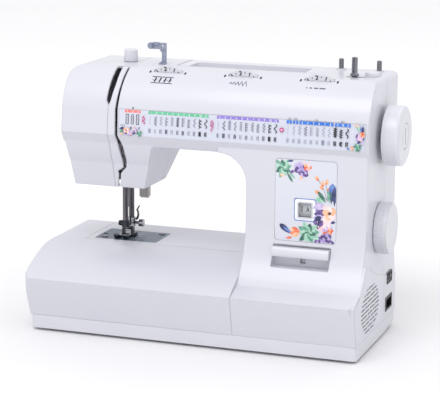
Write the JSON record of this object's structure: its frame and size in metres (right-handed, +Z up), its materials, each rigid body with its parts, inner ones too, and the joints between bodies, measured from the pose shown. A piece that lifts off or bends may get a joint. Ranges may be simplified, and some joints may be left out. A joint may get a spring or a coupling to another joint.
{
  "type": "sewing machine",
  "caption": "Portable mechanical sewing machine with free arm, sliding extension table, handwheel, pattern dial and shoulder dials.",
  "frame": {"origin": "on the table under the middle of the machine's overall box", "axes": "+X along the machine from the bed's left end to the handwheel, +Y from the operator to the back, +Z up"},
  "size_m": [0.392, 0.172, 0.3082],
  "materials": {
    "white_shell": "gloss",
    "white_trim": "gloss",
    "steel": "satin",
    "chrome": "polished",
    "plate_steel": "brushed",
    "cast_metal": "cast",
    "bronze": "machined",
    "black_rubber": "matte",
    "black_plastic": "matte",
    "grey_plastic": "satin",
    "guide_grey": "satin",
    "printed_panel": "gloss print",
    "clear_lens": "clear",
    "lamp_glass": "frosted",
    "dark_metal": "blued"
  },
  "bodies": {
    "machine": {"front_cover": "white_shell", "rear_cover": "white_shell", "left_head_cover": "white_shell", "free_arm_cover": "white_shell", "base_tray": "white_trim", "rubber_feet": "black_rubber", "frame_casting": "cast_metal", "shaft_bushes": "bronze", "drive_belts": "black_rubber", "motor": "dark_metal", "hinge_pins": "steel", "screws": "steel", "needle_plate": "plate_steel", "pattern_panel": "printed_panel", "window_lens": "clear_lens", "stitch_chart": "printed_panel", "mains_inlet": "black_plastic", "lamp_bulb": "lamp_glass", "bobbin_stopper": "white_trim", "thread_guide": "guide_grey", "tension_discs": "chrome", "bobbin_case": "chrome", "presser_spring": "steel"},
    "face_cover": {"face_cover": "white_shell"},
    "hook_cover": {"hook_cover": "white_trim"},
    "extension_table": {"extension_table": "white_shell"},
    "main_rotor": {"main_shaft": "steel", "handwheel": "white_trim", "crank_disc": "cast_metal", "shaft_pulleys": "black_plastic"},
    "clutch_knob": {"clutch_knob": "white_trim"},
    "connecting_rod": {"connecting_rod": "cast_metal"},
    "lower_rotor": {"lower_shaft": "steel"},
    "hook": {"rotary_hook": "steel"},
    "bobbin": {"bobbin": "clear_lens"},
    "motor_rotor": {"motor_pulley": "black_plastic"},
    "needle_bar": {"needle_bar": "chrome", "needle_clamp": "dark_metal", "needle": "chrome"},
    "take_up": {"take_up_lever": "chrome"},
    "presser": {"presser_bar": "chrome", "foot_holder": "chrome", "foot_thumb_screw": "chrome", "thread_cutter": "steel", "presser_foot": "dark_metal"},
    "presser_lifter": {"presser_lifter": "grey_plastic"},
    "pressure_knob": {"pressure_knob": "white_trim"},
    "feed": {"feed_dogs": "steel"},
    "tension_dial": {"tension_dial": "white_trim"},
    "width_dial": {"width_dial": "white_trim"},
    "length_dial": {"length_dial": "white_trim"},
    "pattern_dial": {"pattern_dial": "white_trim"},
    "indicator_drum": {"indicator_drum": "white_trim"},
    "reverse_lever": {"reverse_lever": "white_trim"},
    "power_rocker": {"power_rocker": "black_plastic"},
    "spool_pin_left": {"spool_pin_left": "steel"},
    "spool_pin_right": {"spool_pin_right": "steel"},
    "winder_arm": {"winder_arm": "grey_plastic"},
    "winder_spindle": {"winder_spindle": "dark_metal"},
    "carry_handle": {"carry_handle": "white_trim"}
  },
  "joints": [
    {"name": "face_cover_hinge", "type": "hinge", "parent": "machine", "child": "face_cover", "pos_m": [-0.171, 0.0297, 0.22], "axis": [0, 0, -1], "range_deg": [0, 100]},
    {"name": "hook_cover_hinge", "type": "hinge", "parent": "machine", "child": "hook_cover", "pos_m": [-0.118, 0.0006, 0.029], "axis": [1, 0, 0], "range_deg": [0, 80]},
    {"name": "table_slide", "type": "slide", "parent": "machine", "child": "extension_table", "axis": [-1, 0, 0], "range_m": [0, 0.2]},
    {"name": "main_spin", "type": "hinge", "parent": "machine", "child": "main_rotor", "pos_m": [0, 0.025, 0.2236], "axis": [1, 0, 0], "continuous": true},
    {"name": "clutch_turn", "type": "hinge", "parent": "main_rotor", "child": "clutch_knob", "pos_m": [0.19, 0.025, 0.2236], "axis": [1, 0, 0], "range_deg": [0, 60]},
    {"name": "con_rod_pin", "type": "hinge", "parent": "main_rotor", "child": "connecting_rod", "pos_m": [-0.115, 0.025, 0.2086], "axis": [1, 0, 0], "continuous": true},
    {"name": "lower_spin", "type": "hinge", "parent": "machine", "child": "lower_rotor", "pos_m": [0, 0.052, 0.058], "axis": [1, 0, 0], "continuous": true},
    {"name": "hook_spin", "type": "hinge", "parent": "machine", "child": "hook", "pos_m": [-0.122, 0.02, 0.058], "axis": [0, 1, 0], "continuous": true},
    {"name": "bobbin_spin", "type": "hinge", "parent": "machine", "child": "bobbin", "pos_m": [-0.122, 0.01, 0.058], "axis": [0, 1, 0], "continuous": true},
    {"name": "motor_spin", "type": "hinge", "parent": "machine", "child": "motor_rotor", "pos_m": [0.16, -0.008, 0.045], "axis": [1, 0, 0], "continuous": true},
    {"name": "needle_bar_slide", "type": "slide", "parent": "machine", "child": "needle_bar", "axis": [0, 0, 1], "range_m": [0, 0.03]},
    {"name": "take_up_swing", "type": "hinge", "parent": "machine", "child": "take_up", "pos_m": [-0.119, 0.015, 0.262], "axis": [-1, 0, 0], "range_deg": [0, 62]},
    {"name": "lifter_swing", "type": "hinge", "parent": "machine", "child": "presser_lifter", "pos_m": [-0.116, 0.054, 0.173], "axis": [1, 0, 0], "range_deg": [0, 60]},
    {"name": "presser_slide", "type": "slide", "parent": "machine", "child": "presser", "axis": [0, 0, 1], "range_m": [0, 0.006], "deforming": ["presser_spring"]},
    {"name": "pressure_turn", "type": "hinge", "parent": "machine", "child": "pressure_knob", "pos_m": [-0.122, 0.043, 0.29], "axis": [0, 0, 1], "range_deg": [-180, 180]},
    {"name": "feed_slide", "type": "slide", "parent": "machine", "child": "feed", "axis": [0, 1, 0], "range_m": [-0.002, 0.002]},
    {"name": "tension_turn", "type": "hinge", "parent": "machine", "child": "tension_dial", "pos_m": [-0.059, -0.0004, 0.2673], "axis": [0, 0.9659, 0.259], "range_deg": [-150, 150]},
    {"name": "width_turn", "type": "hinge", "parent": "machine", "child": "width_dial", "pos_m": [0.026, -0.0004, 0.2673], "axis": [0, 0.9659, 0.259], "range_deg": [-150, 150]},
    {"name": "length_turn", "type": "hinge", "parent": "machine", "child": "length_dial", "pos_m": [0.11, -0.0004, 0.2673], "axis": [0, 0.9659, 0.259], "range_deg": [-150, 150]},
    {"name": "pattern_turn", "type": "hinge", "parent": "machine", "child": "pattern_dial", "pos_m": [0.18, 0.0168, 0.1252], "axis": [1, 0, 0], "continuous": true},
    {"name": "drum_turn", "type": "hinge", "parent": "machine", "child": "indicator_drum", "pos_m": [0.105, -0.011, 0.149], "axis": [1, 0, 0], "continuous": true},
    {"name": "reverse_press", "type": "hinge", "parent": "machine", "child": "reverse_lever", "pos_m": [0.104, 0.012, 0.104], "axis": [1, 0, 0], "range_deg": [0, 9], "stiffness_Nm_per_rad": 0.6, "springref_deg": -6.88},
    {"name": "rocker_tilt", "type": "hinge", "parent": "machine", "child": "power_rocker", "pos_m": [0.1695, 0.058, 0.0615], "axis": [0, -1, 0], "range_deg": [0, 10]},
    {"name": "spool_pin_left_slide", "type": "slide", "parent": "machine", "child": "spool_pin_left", "axis": [0, 0, 1], "range_m": [0, 0.045]},
    {"name": "spool_pin_right_slide", "type": "slide", "parent": "machine", "child": "spool_pin_right", "axis": [0, 0, 1], "range_m": [0, 0.045]},
    {"name": "winder_swing", "type": "hinge", "parent": "machine", "child": "winder_arm", "pos_m": [0.141, 0.058, 0.264], "axis": [0, 0, 1], "range_deg": [0, 10]},
    {"name": "winder_spin", "type": "hinge", "parent": "winder_arm", "child": "winder_spindle", "pos_m": [0.141, 0.018, 0.28], "axis": [0, 0, 1], "continuous": true},
    {"name": "handle_swing", "type": "hinge", "parent": "machine", "child": "carry_handle", "pos_m": [0.015, 0.038, 0.279], "axis": [1, 0, 0], "range_deg": [0, 95]}
  ],
  "couplings": [
    {"joint": "con_rod_pin", "follows": "main_spin", "ratio": -1},
    {"joint": "lower_spin", "follows": "main_spin", "ratio": 1},
    {"joint": "hook_spin", "follows": "main_spin", "ratio": 2},
    {"joint": "motor_spin", "follows": "main_spin", "ratio": 3.5316},
    {"joint": "take_up_swing", "follows": "needle_bar_slide", "rad_per_m": 36},
    {"joint": "lifter_swing", "follows": "presser_slide", "rad_per_m": 174.36},
    {"joint": "drum_turn", "follows": "pattern_turn", "ratio": -1}
  ]
}
